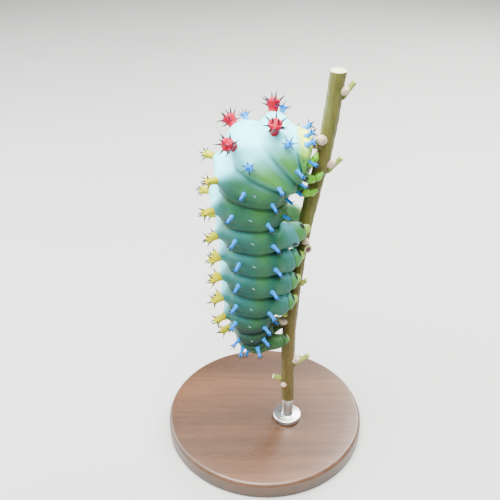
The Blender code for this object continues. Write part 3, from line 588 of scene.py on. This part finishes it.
# The warts. Hollow horny knobs that stand on the skin's cones: coral-red raspberries and blue
# crowns on the chest, small crowns on the collar, yellow clubs along the back and sky-blue rods
# in rows down each side. Each ends in round lobes, and every lobe bears a black spine.
WART_KINDS = {
    # profile as (height, radius); lobes as (height, how many, turn of the first, lean up of their
    # spines); the lobes' radius and how far out they sit; the spines' length and radius; columns
    # and rings of the mesh; how much of the tip's colour the lobes and the whole wart take
    "red": (
        ((-1.0, 1.45), (0.1, 1.22), (0.6, 1.18), (1.2, 1.32), (1.9, 1.55), (2.5, 1.68),
         (2.95, 1.5), (3.2, 1.05), (3.3, 0.5), (3.32, 0.0)),
        ((1.5, 3, 0.4, 0.2), (2.55, 6, 0.0, 0.65), (3.15, 2, 0.5, 2.2)),
        (0.52, -0.42), (1.75, 0.24), (32, 28), (0.8, 0)),
    "yellow": (
        ((-1.0, 1.15), (0.2, 0.98), (0.7, 0.9), (1.4, 0.9), (2.0, 1.0), (2.4, 1.02),
         (2.7, 0.86), (2.9, 0.5), (2.95, 0.0)),
        ((2.3, 5, 0.2, 0.55), (2.8, 2, 0.6, 2.0)),
        (0.4, -0.26), (1.3, 0.2), (28, 24), (0.8, 0)),
    "blue": (
        ((-0.7, 0.8), (0.1, 0.6), (0.4, 0.48), (1.2, 0.42), (1.8, 0.47), (2.15, 0.46),
         (2.35, 0.28), (2.4, 0.0)),
        ((2.1, 4, 0.3, 0.7), (2.3, 1, 0.0, 1.0)),
        (0.2, -0.12), (0.95, 0.15), (18, 20), (0.7, 0.35)),
    "small": (
        ((-0.6, 0.65), (0.1, 0.48), (0.4, 0.38), (1.1, 0.36), (1.5, 0.38), (1.7, 0.24),
         (1.75, 0.0)),
        ((1.45, 3, 0.3, 0.6), (1.65, 1, 0.0, 1.0)),
        (0.17, -0.08), (0.75, 0.13), (16, 16), (0.7, 0.35)),
    "crown": (
        ((-0.7, 0.95), (0.1, 0.7), (0.5, 0.6), (1.0, 0.68), (1.5, 0.88), (1.8, 0.86),
         (2.0, 0.5), (2.05, 0.0)),
        ((1.6, 6, 0.3, 0.5), (1.95, 1, 0.0, 1.0)),
        (0.3, -0.1), (1.35, 0.14), (24, 20), (0.4, 0)),
    "collar": (
        ((-0.7, 0.95), (0.1, 0.72), (0.5, 0.58), (1.1, 0.54), (1.6, 0.68), (1.85, 0.64),
         (2.05, 0.38), (2.1, 0.0)),
        ((1.7, 5, 0.3, 0.5), (2.0, 1, 0.0, 1.0)),
        (0.27, -0.1), (1.2, 0.15), (22, 20), (0.35, 0)),
}
SPINE_SIDE = (0.31, 0.93, 0.17)  # no spine or wart points along these
WART_SIDE = (0.13, 0.98, 0.21)


def outward_at(place, angle):
    """Direction square to the smooth skin, from the cross product of small steps along and round
    the body, and the direction along the body there."""
    step = 0.01
    along = skin_at(place + step, angle) - skin_at(place - step, angle)
    around = skin_at(place, angle + step) - skin_at(place, angle - step)
    return unit(np.cross(around, along)), directions(rows_between(SEGMENTS, place)[2])[0]


def spine(root, way, length, radius):
    """One spine: a cone with a slightly swollen foot, radius * (1 - h)^0.75, down to a point."""
    height = np.array((-0.12, 0.0, 0.08, 0.25, 0.5, 0.75, 0.92, 1.0))
    girth = radius * np.where(height < 0.05, 1.15, (1 - height) ** 0.75)
    turn = full_turn(7)
    return (root + way * (height * length)[:, None, None]
            + girth[:, None, None] * rays(way, SPINE_SIDE, turn))


def lobe_ball(centre, aim, radius):
    """Round lobe a third longer than wide: radius * (sin, 1.3 cos) about its aim."""
    polar = np.linspace(0, np.pi, 8)[:, None, None]
    turn = full_turn(10)
    return centre + radius * (np.sin(polar) * rays(aim, SPINE_SIDE, turn)
                              + 1.3 * np.cos(polar) * aim)


def wart(kind, foot, way, spin):
    """A turned profile with a slightly wavy girth, round lobes set into it, and a spine on each
    lobe. Returns sleeves of the wart and of its spines."""
    profile, lobes, (size, sits), (length, girth), (columns, steps), tints = kind
    profile = np.array(profile)
    height, radius = rows_between(profile, np.linspace(0, len(profile) - 1, steps)).T
    top = height.max()
    turn = full_turn(columns)
    wavy = 1 + 0.05 * np.sin(3 * turn + spin)
    grid = (foot + way * height[:, None, None]
            + (np.maximum(radius, 0)[:, None] * wavy)[..., None] * rays(way, WART_SIDE, turn))
    share = np.clip(0 * turn + (height / top)[:, None], 0, 1)
    knobs = [(settled(grid), {"height": share, "lobe": 0 * share + tints[1]}, 0)]
    spines = []
    for level, count, offset, lean in lobes:
        out_by = np.interp(level, profile[:, 0], profile[:, 1]) + sits if count > 1 else 0.0
        for order in range(count):
            bearing = spin + offset + 2 * np.pi * order / count
            wobble = 0.12 * np.sin((bearing * 7 + level, bearing * 5, level * 9 + bearing))
            out = rays(way, WART_SIDE, bearing)
            aim = unit((way if lean >= 1 else unit(out + way * lean)) + wobble)
            centre = foot + way * level + out * out_by
            ball = lobe_ball(centre, aim, size)
            whole = np.ones(ball.shape[:2])
            knobs.append((settled(ball),
                          {"height": whole * level / top, "lobe": whole * tints[0]}, 0))
            grown = length * (0.85 + 0.25 * np.sin(bearing * 3 + spin * 5) ** 2)
            spines.append((settled(spine(centre + aim * size * 1.2, aim, grown, girth)), {}, 0))
    return knobs, spines


def horn(name, foot, middle, tip, **sockets):
    """Satin horn whose colour runs from its foot to its middle, and to the tip's on the lobes."""
    return new_material(name, {"horn": (900.0, 5200.0)}, foot, (
        ("height", middle, 1 / 0.45), ("horn blotch", middle, 0.35), ("lobe", tip, 1.0)),
        ("horn grain", 0.02), **sockets)


# The pinker colour on the red warts' lobes is a painted sheen.
RED = horn("Coral red horn", (0.33, 0.0, 0.014), (0.33, 0.0, 0.014), (0.46, 0.001, 0.07),
           Roughness=0.36, Specular_IOR_Level=0.14)
# The yellow clubs' darker, greener foot is painted shade on their lower part.
YELLOW = horn("Yellow horn", (0.25, 0.27, 0.001), (0.42, 0.39, 0.0), (0.46, 0.45, 0.0),
              Roughness=0.45, Specular_IOR_Level=0.08)
BLUE = horn("Sky-blue horn", (0.003, 0.31, 0.72), (0.0, 0.22, 0.72), (0.0, 0.06, 0.34),
            Roughness=0.42, Specular_IOR_Level=0.06)
BLACK = new_material(
    "Black spine horn", {"horn": (1500.0, 6000.0)}, (0.003, 0.003, 0.004),
    (("horn blotch", (0.014, 0.012, 0.014)),), ("horn grain", 0.01), Roughness=0.3,
    Specular_IOR_Level=0.25)
groups = {"red": [], "yellow": [], "blue": []}
all_spines = []
for number, (ring, degrees, kind, at, lean, side_only) in enumerate(WARTS):
    for sign in ((side_only,) if side_only else (1, -1) if degrees else (1,)):
        where, turn = np.array(ring + at / 2), np.array(sign * np.radians(degrees))
        out, along = outward_at(where, turn)
        foot = skin_at(where, turn, skin_rise(where, turn) - 0.25 * CONES[kind][0])
        way = unit(out * np.cos(np.radians(lean)) - along * np.sin(np.radians(lean)))
        knobs, spines = wart(WART_KINDS[kind], foot, way, number * 1.7 + sign * 0.4)
        groups[kind if kind in groups else "blue"] += knobs
        all_spines += spines
make_piece("warts_red", groups["red"], [RED])
make_piece("warts_yellow", groups["yellow"], [YELLOW])
make_piece("warts_blue", groups["blue"], [BLUE])
make_piece("spines", all_spines, [BLACK])

# The breathing holes. A pale slanted slit with a dark rim, one on each side of the first ring of
# the chest and of each of eight rings behind, set into the skin between the wart rows.
SPIRACLES = [(12, 100, -0.2)] + [(ring, 88, 0.12) for ring in range(2, 10)]
SPIRACLE_SLANT = 0.45


def spiracle(ring, degrees, at, sign):
    """Flat slanted oval on the skin, long round the body: half sizes 0.74 by 0.27, its height a
    low dome with a raised lip a third of the way out."""
    radius = np.linspace(0, 1.0, 14)[:, None]
    turn = full_turn(30)
    around, along = 0.74 * radius * np.cos(turn), 0.27 * radius * np.sin(turn)
    where = ring + at / 2 + (along - SPIRACLE_SLANT * sign * around) / RING_LENGTH
    round_to = sign * np.radians(degrees) + around / RING_RADIUS
    level = radius + 0 * turn
    lip, rim = bell(level - 0.32, 0.17), ease(0.5, 0.66, level)
    skin = skin_rise(where, round_to)
    top = skin_at(where, round_to, skin + 0.05 * (1 - level ** 2) + 0.1 * lip)
    under = skin_at(where, round_to, skin - 0.25)
    return settled(np.concatenate([top, under[::-1]])), {
        "lip": np.concatenate([lip, lip[::-1]]), "rim": np.concatenate([rim, rim[::-1]])}, 0


PALE = new_material(
    "Breathing hole", {"slit": (1500.0, 6000.0)}, (0.004, 0.022, 0.018), (
        ("lip", (0.3, 0.64, 0.6)),
        ("rim", (0.004, 0.04, 0.034), 0.9),
        ("slit blotch", (0.06, 0.22, 0.19), 0.2)),
    ("slit grain", 0.01), Roughness=0.4)
make_piece("spiracles", [spiracle(*spot, sign) for spot in SPIRACLES for sign in (1, -1)],
           [PALE])

# The six walking legs. Short jointed legs of harder skin, yellow-green, reaching forward round
# the stem. Each ends in a small brown claw, and a black spot marks its root.
LEG_ROUTES = {
    "leg_1": ((12.9, 4.0, 28.9), (14.1, 4.4, 28.3), (15.2, 4.2, 28.7), (15.9, 3.4, 29.8),
              (16.3, 2.7, 30.8)),
    "leg_2": ((12.4, 3.7, 24.7), (14.2, 4.2, 23.6), (16.0, 4.0, 23.5), (17.4, 3.2, 24.3),
              (18.7, 2.7, 25.0)),
    "leg_3": ((11.4, 3.3, 21.1), (13.1, 3.9, 19.8), (14.8, 3.8, 19.2), (16.3, 3.1, 19.5),
              (17.6, 2.7, 19.7)),
}
LEG_RADII = (1.15, 1.22, 1.0, 0.66, 0.24)
LEG_FLATNESS = 0.9


def leg_joints(reach):
    """Swelling of a leg's three joints, with a narrow waist between each and the next."""
    return (1 + 0.1 * bell(reach - 1.25, 0.4) - 0.2 * bell(reach - 1.95, 0.16)
            + 0.14 * bell(reach - 2.5, 0.3) - 0.2 * bell(reach - 3.05, 0.14))


def leg(route, sign):
    """Jointed limb. Its spot is on the outer side, where it faces away from the other leg."""
    grid, down = limb(np.array(route) * (1, -sign, 1), LEG_RADII, 56, 28, LEG_FLATNESS, leg_joints)
    outer = grid[..., 1] - grid[..., 1].mean(1)[:, None]
    outer = ease(0.55, 0.9, -sign * outer / np.abs(outer).max(1)[:, None])
    return settled(grid), {"root": 1 - ease(0.3, 1.2, down), "tip": ease(3.25, 3.5, down),
                           "spot": ease(0.3, 0.6, outer * bell(down - 0.8, 0.16))}, 0


LEG = new_material(
    "Leg skin", {"leg": (700.0, 4200.0)}, (0.06, 0.26, 0.003), (
        ("leg blotch", (0.12, 0.38, 0.007)),
        ("root", (0.03, 0.17, 0.07), 0.8),
        ("spot", (0.004, 0.004, 0.006)),
        ("tip", (0.055, 0.035, 0.02))),
    ("leg grain", 0.02), Roughness=0.34, Subsurface_Weight=0.1, Subsurface_Scale=0.0006,
    Specular_IOR_Level=0.3, Coat_Weight=0.05, Coat_Roughness=0.2)
make_piece("legs", [leg(route, sign) for route in LEG_ROUTES.values() for sign in (1, -1)], [LEG],
           ["%s_%s" % (name, side) for name in LEG_ROUTES for side in ("right", "left")])

# The head. A small hard capsule of two rounded halves, bent down behind the collar with its face
# to the stem. Green, with six black eye beads to a side, short feelers, a lip and brown jaws.
HEAD_CENTRE = np.array((13.4, 0.0, 25.0))
HEAD_HEADING = 112.0
HEAD_HALF = (2.4, 2.25, 1.75)  # half width, height and depth
FACE, CROWN, HEAD_RIGHT = directions(np.array(HEAD_HEADING))
LIP_PLACE, LIP_HALF = (0, -1.55, 0.95), (0.85, 0.42, 0.5)
JAW_PLACE, JAW_HALF = (0.45, -2.05, 0.65), (0.47, 0.5, 0.45)
FEELER_ROUTE = ((1.45, -1.15, 0.8), (1.68, -1.4, 1.05), (1.95, -1.7, 1.35))
FEELER_RADII = (0.36, 0.27, 0.18)
EYE_BEADS = [(0.36, -35 + 42 * order) for order in range(5)] + [(0.0, 0)]  # radius, degrees
BEAD_HALF = (0.14, 0.14, 0.14)


def head_point(side, up, out):
    """Layout point of head coordinates."""
    return (HEAD_CENTRE + HEAD_RIGHT * np.asarray(side)[..., None]
            + CROWN * np.asarray(up)[..., None] + FACE * np.asarray(out)[..., None])


def capsule(centre, half, mesh, number=0, groove=lambda side, up: 0 * side,
            size=lambda side, up, out: 1.0):
    """Ellipsoid in head coordinates whose poles lie above and below. Its groove's shade and its
    size are functions of how far a point lies to the side, up and out."""
    polar, turn = np.linspace(0, np.pi, mesh[0])[:, None], full_turn(mesh[1])
    side, up = np.sin(polar) * np.sin(turn), np.cos(polar) + 0 * turn
    out = np.sin(polar) * np.cos(turn)
    reach = size(side, up, out)
    return settled(head_point(centre[0] + half[0] * side * reach, centre[1] + half[1] * up * reach,
                              centre[2] + half[2] * out * reach)), {
        "groove": groove(side, up)}, number


def skull_groove(side, up):
    """Shade of the groove: a bell across it, fading to the face."""
    return bell(side, 0.08) * ease(-0.35, 0.3, up)


def skull_size(side, up, out):
    """Groove between the two halves, deepest on the crown, that forks round the face plate."""
    groove = 0.12 * bell(side, 0.1) * ease(-0.35, 0.3, up)
    fork = bell(np.abs(side) - 0.42 * (0.3 - up), 0.07) * (out > 0) * (1 - ease(0.1, 0.35, up))
    return 1 - groove - 0.05 * fork


HEAD = new_material(
    "Head capsule", {"shell": (800.0, 5000.0)}, (0.16, 0.36, 0.09), (
        ("shell blotch", (0.26, 0.48, 0.13)),
        ("groove", (0.05, 0.12, 0.04), 0.8)),
    ("shell grain", 0.03), Roughness=0.28, Coat_Weight=0.3, Coat_Roughness=0.15,
    Subsurface_Weight=0.1, Subsurface_Scale=0.0006)
JAW = new_material("Jaw horn", {"horn": (1500.0, 6000.0)}, (0.06, 0.022, 0.008),
                   (("horn blotch", (0.13, 0.05, 0.018)),), ("horn grain", 0.01),
                   Roughness=0.25)
parts = [capsule((0, 0, 0), HEAD_HALF, (60, 72), 0, skull_groove, skull_size),
         capsule(LIP_PLACE, LIP_HALF, (24, 32), 0,
                 lambda side, up: 0.6 * bell(side, 0.15) * (up < 0))]
for sign in (1, -1):
    feeler = np.array(FEELER_ROUTE) * (sign, 1, 1)
    grid, down = limb(head_point(*feeler.T), FEELER_RADII, 18, 14)
    parts += [capsule(np.array(JAW_PLACE) * (sign, 1, 1), JAW_HALF, (20, 24), 2),
              (settled(grid), {"groove": 0.5 * ease(1.4, 1.9, down)}, 0)]
    for radius, degrees in EYE_BEADS:
        bearing = np.radians(degrees)
        bead = (sign * (1.72 - 0.1 * radius), -0.62 + radius * np.sin(bearing),
                1.06 + radius * np.cos(bearing))
        parts.append(capsule(bead, BEAD_HALF, (10, 12), 1))
make_piece("head_capsule", parts, [HEAD, BLACK, JAW], ["head"])

# The stem. A green twig cut at both ends, with thin olive-brown bark that is finely ribbed
# lengthwise and dotted with pale pores. Leaf stalks were cut off it, and buds sit at their feet.
STEM_END = 50.0  # the cuts lie this far above and below the body's place
STEM_STEPS = 360
BUDS = (
    # height, degrees from +X toward +Y, half width, reach
    (45.0, -25, 1.0, 1.3), (32.6, -130, 1.3, 1.7), (25.6, -20, 1.1, 1.5), (3.2, -72, 1.0, 1.5),
    (-22.6, -148, 1.15, 1.6), (-36.0, -20, 1.1, 1.4), (-44.2, -125, 0.8, 1.1),
)
STUBS = (
    # height, degrees round, half width, reach, rise in degrees, and 1 for a long green stalk
    (43.4, 15, 0.65, 4.5, 50, 1), (31.4, -150, 0.95, 1.5, 5, 0), (23.9, -5, 0.65, 5.0, 48, 1),
    (1.9, -66, 1.1, 2.0, 4, 0), (-10.3, -25, 0.6, 2.2, 45, 1), (-19.9, -140, 0.65, 1.5, 25, 1),
    (-23.4, -168, 0.8, 2.6, 5, 0), (-37.4, 0, 0.65, 5.0, 35, 1), (-42.4, -170, 0.65, 2.6, 20, 1),
)
TWIG_SIDE = (0.2, 0.3, 1.0)  # no stalk or bud points along this


def stem_radius(height):
    """1.95 at the lower cut, thinning evenly to 1.88 at the upper."""
    return 1.95 - 0.07 * (height + STEM_END) / (2 * STEM_END)


def stem_sleeve():
    """Tube of the stem with ribs and slow swellings, closed by flat cuts: each ring is
    centre + (radius + ribs) * (cos, sin)."""
    turn = full_turn(72)
    height = np.linspace(-STEM_END, STEM_END, STEM_STEPS)
    ends = np.linspace(0, 1, 9)[:, None]
    z = np.concatenate([np.full(9, -STEM_END), height, np.full(9, STEM_END)])[:, None]
    shrink = np.concatenate([ends, np.ones((STEM_STEPS, 1)), ends[::-1]])
    ribs = 0.035 * np.sin(9 * turn + 0.12 * z) + 0.02 * np.sin(17 * turn - 0.2 * z + 1.0)
    lumps = 0.05 * np.sin(0.55 * z + np.sin(turn * 2)) + 0.03 * np.sin(1.7 * z + 3 * turn)
    radius = (stem_radius(z) + ribs + lumps) * shrink
    x = stem_x(z[:, 0])[:, None]
    grid = np.stack([x + radius * np.cos(turn), radius * np.sin(turn), z + 0 * turn], -1)
    cut = np.concatenate([1 + 0 * ends, np.zeros((STEM_STEPS, 1)), 1 + 0 * ends]) + 0 * turn
    return settled(grid), {"cut": cut, "pith": (1 - ease(0.2, 0.3, shrink)) * cut, "scar": 0 * cut,
                           "stalk": 0 * cut, "old": 1 - ease(-30, 8, z) + 0 * cut}, 0


def stem_node(height, degrees):
    """Middle of the stem at a height, and the way out of it at a bearing: (cos, sin, 0)."""
    bearing = np.radians(degrees)
    return (np.array((stem_x(height), 0.0, height)),
            np.array((np.cos(bearing), np.sin(bearing), 0.0)))


def stalk(height, degrees, radius, reach, rise, green):
    """Stub of a cut leaf stalk: a tube of five faint ribs with a flared foot and a cut face."""
    middle, out = stem_node(height, degrees)
    lift = np.radians(rise)
    way = out * np.cos(lift) + np.array((0, 0, np.sin(lift)))
    face = middle + out * stem_radius(height)
    steps = np.linspace(-1, 1, 30)
    places = rows_between(np.array((middle, face, face + way * reach)), steps + 1)
    girth = radius * (1 + 0.35 * bell(steps + 0.05, 0.35) * (steps > -0.4))
    places = np.concatenate([places[:1], places, np.repeat(places[-1:], 5, 0)])
    girth = np.concatenate([[0], girth, girth[-1] * np.array((0.97, 0.8, 0.5, 0.2, 0))])
    turn = full_turn(28)
    grid = places[:, None] + (girth[:, None] * (1 + 0.04 * np.sin(5 * turn)))[..., None] * rays(
        way, TWIG_SIDE, turn)
    cut = np.concatenate([np.zeros(31), np.ones(5)])[:, None] + 0 * turn
    dark = cut * (girth[:, None] < 0.7 * radius) * (1 - green)
    grown = ease(-0.1, 0.35, np.concatenate([[-1], steps, np.ones(5)]))[:, None]
    return settled(grid), {"cut": cut * green + 0.7 * (cut - dark) * (1 - green), "scar": dark,
                           "pith": 0 * cut, "old": 0 * cut, "stalk": green * grown + 0 * turn}, 0


def bud(height, degrees, radius, reach):
    """Pointed oval bud of overlapping scales: an ellipsoid with slanting ridges."""
    middle, out = stem_node(height, degrees)
    way = unit(out + np.array((0, 0, 0.6)))
    middle = middle + out * 0.8 * stem_radius(height) + way * 0.55 * reach
    polar = np.linspace(np.pi, 0, 40)[:, None]
    turn = full_turn(40)
    step = (2.2 * polar / np.pi + turn / np.pi) % 1.0
    tall = reach * np.cos(polar) * (1 + 0.1 * ease(0.5, 0.0, polar))
    girth = radius * np.sin(polar) * (1 + 0.05 * step)
    grid = middle + way * tall[..., None] + girth[..., None] * rays(way, TWIG_SIDE, turn)
    return settled(grid), {"scale": step * np.sin(polar),
                           "foot": ease(1.6, 2.4, polar) + 0 * turn}, 0


BARK = new_material(
    "Green bark", {"streak": (900.0, 3800.0, (1.0, 1.0, 0.1)),
                   "pore": (420.0, 1500.0, (1.0, 1.0, 0.8))}, (0.075, 0.096, 0.01), (
        ("streak blotch", (0.128, 0.126, 0.024)),
        ("old", (0.082, 0.052, 0.01), 0.85),
        ("streak grain", (0.25, 0.2, 0.06), 0.32),
        ("pore blotch", (0.08, 0.034, 0.005), 0.25),
        ("stalk", (0.3, 0.38, 0.07), 0.9),
        ("cut", (0.62, 0.6, 0.33)),
        ("pith", (0.78, 0.74, 0.56)),
        ("scar", (0.1, 0.035, 0.05))),
    ("streak grain", 0.07), Roughness=0.65, Sheen_Weight=0.12, Sheen_Roughness=0.45,
    Specular_IOR_Level=0.2)
BUD = new_material(
    "Bud scales", {"bud": (1100.0, 5200.0)}, (0.62, 0.54, 0.4), (
        ("scale", (0.46, 0.13, 0.2), 0.9),
        ("bud blotch", (0.4, 0.46, 0.2), 0.35),
        ("foot", (0.26, 0.26, 0.1), 0.9)),
    ("bud grain", 0.03), Roughness=0.4, Subsurface_Weight=0.2, Subsurface_Scale=0.0006)
make_piece("stem", [stem_sleeve()] + [stalk(*row) for row in STUBS], [BARK],
           ["perch_stem"])
make_piece("buds", [bud(*row) for row in BUDS], [BUD])

# The display stand. A turned walnut disc with a rounded edge, oiled to a satin finish, and a
# short brushed steel rod with a flange that carries the stem's lower cut.
BASE_RADIUS = 29.0
BASE_HEIGHT = 5.0
EDGE_ROUND = 1.2
POST_PROFILE = ((5.3, 0), (5.3, 4.1), (5.4, 4.2), (6.15, 4.2), (6.4, 4.05), (6.5, 3.8),
                (6.5, 1.75), (6.6, 1.62), (6.8, 1.6), (12.5, 1.6), (12.7, 1.5), (12.7, 0))


def turned(profile, place, columns):
    """Solid of revolution about an upright axis from (height, radius) points, in metres."""
    profile = np.array(profile, float)
    turn = full_turn(columns)
    height, radius = profile[:, :1], profile[:, 1:]
    grid = np.stack([place[0] + radius * np.cos(turn), place[1] + radius * np.sin(turn),
                     height + 0 * turn], -1)
    return grid * 0.001, {}, 0


WALNUT = new_material(
    "Oiled walnut", {"figure": (120.0, 2600.0, (0.06, 1.0, 1.0)),
                     "pore": (700.0, 5200.0, (0.05, 1.0, 1.0))}, (0.04, 0.016, 0.006), (
        ("figure blotch", (0.095, 0.04, 0.016)),
        ("pore blotch", (0.022, 0.009, 0.004), 0.45),
        ("pore grain", (0.14, 0.065, 0.03), 0.18)),
    ("pore grain", 0.03), Roughness=0.4, Coat_Weight=0.25, Coat_Roughness=0.25)
quarter = np.radians(np.linspace(0, 90, 9))
edge = zip(BASE_HEIGHT - EDGE_ROUND + EDGE_ROUND * np.sin(quarter),
           BASE_RADIUS - EDGE_ROUND + EDGE_ROUND * np.cos(quarter))
outline = [(0, 0), (0, 10), (0, 20), (0, BASE_RADIUS - 0.4), (0.12, BASE_RADIUS - 0.12),
           (0.4, BASE_RADIUS), (2.0, BASE_RADIUS), *edge,
           *((BASE_HEIGHT, radius) for radius in (24, 16, 8, 0))]
make_piece("stand_disc", [turned(outline, (0, 0), 128)], [WALNUT], ["stand_base"])
STEEL = new_material(
    "Brushed steel", {"brush": (300.0, 9000.0, (1.0, 1.0, 6.0))}, (0.56, 0.56, 0.57),
    (("brush blotch", (0.66, 0.66, 0.66)),), ("brush grain", 0.006), Metallic=1.0)
tree = STEEL.node_tree
rough = tree.nodes.new("ShaderNodeMapRange")
rough.inputs["To Min"].default_value = 0.24
rough.inputs["To Max"].default_value = 0.42
tree.links.new(tree.nodes["Group"].outputs["Grain"], rough.inputs["Value"])
tree.links.new(rough.outputs["Result"], tree.nodes["Principled BSDF"].inputs["Roughness"])
post_place = settled((STEM_ROUTE[0, 0], 0.0, STEM_ROUTE[0, 1])) * 1000
make_piece("stand_post", [turned(POST_PROFILE, post_place, 64)], [STEEL], ["stand_rod"])

# The studio. A plain pale floor, a broad soft light above, weaker ones to the left, in front and
# behind, and a camera that looks down at the larva's right side as the photograph does.
FLOOR_HALF = 3  # metres
LAMPS = (
    # name, place, size and power, colour
    ("key", (-0.05, -0.06, 0.46), 0.38, 13.5, (1.0, 0.995, 0.98)),
    ("side", (-0.36, 0.14, 0.2), 0.28, 3.2, (1.0, 1.0, 1.0)),
    ("fill", (0.1, -0.46, 0.26), 0.4, 0.25, (0.95, 0.98, 1.0)),
    ("rim", (0.24, 0.26, 0.32), 0.3, 6.5, (1.0, 1.0, 0.97)),
)
FLOOR = new_material("Pale floor", {"floor": (6.0, 900.0)}, (0.4, 0.405, 0.395),
                     (("floor blotch", (0.43, 0.435, 0.425)),), ("floor grain", 0.02),
                     Roughness=0.8)
floor_mesh = bpy.data.meshes.new("floor")
floor_mesh.from_pydata([(FLOOR_HALF * x, FLOOR_HALF * y, 0)
                        for x, y in ((-1, -1), (1, -1), (1, 1), (-1, 1))], [], [(0, 1, 2, 3)])
floor_mesh.materials.append(FLOOR)
floor = bpy.data.objects.new("floor", floor_mesh)
bpy.context.scene.collection.objects.link(floor)


def aimed(name, data, place, target):
    """Light or camera at a place, turned to look at a point."""
    thing = bpy.data.objects.new(name, data)
    thing.location = place
    thing.rotation_mode = "QUATERNION"
    thing.rotation_quaternion = Vector(np.array(target) - np.array(thing.location)).to_track_quat(
        "-Z", "Y")
    bpy.context.scene.collection.objects.link(thing)
    return thing


for name, place, size, power, tint in LAMPS:
    lamp = bpy.data.lights.new(name, "AREA")
    lamp.size = size
    lamp.energy = power
    lamp.color = tint
    aimed(name, lamp, place, (-0.004, 0.0, 0.07))
world = bpy.data.worlds.new("studio")
world.use_nodes = True
sky = world.node_tree.nodes["Background"]
sky.inputs["Color"].default_value = (0.93, 0.96, 1.0, 1)
sky.inputs["Strength"].default_value = 0.12
bpy.context.scene.world = world
lens = bpy.data.cameras.new("camera")
lens.lens = 55.4
lens.sensor_width = 36.0
lens.clip_start = 0.005
bpy.context.scene.camera = aimed("camera", lens, (-0.0045, -0.1722, 0.1723), (-0.0045, 0.0, 0.063))
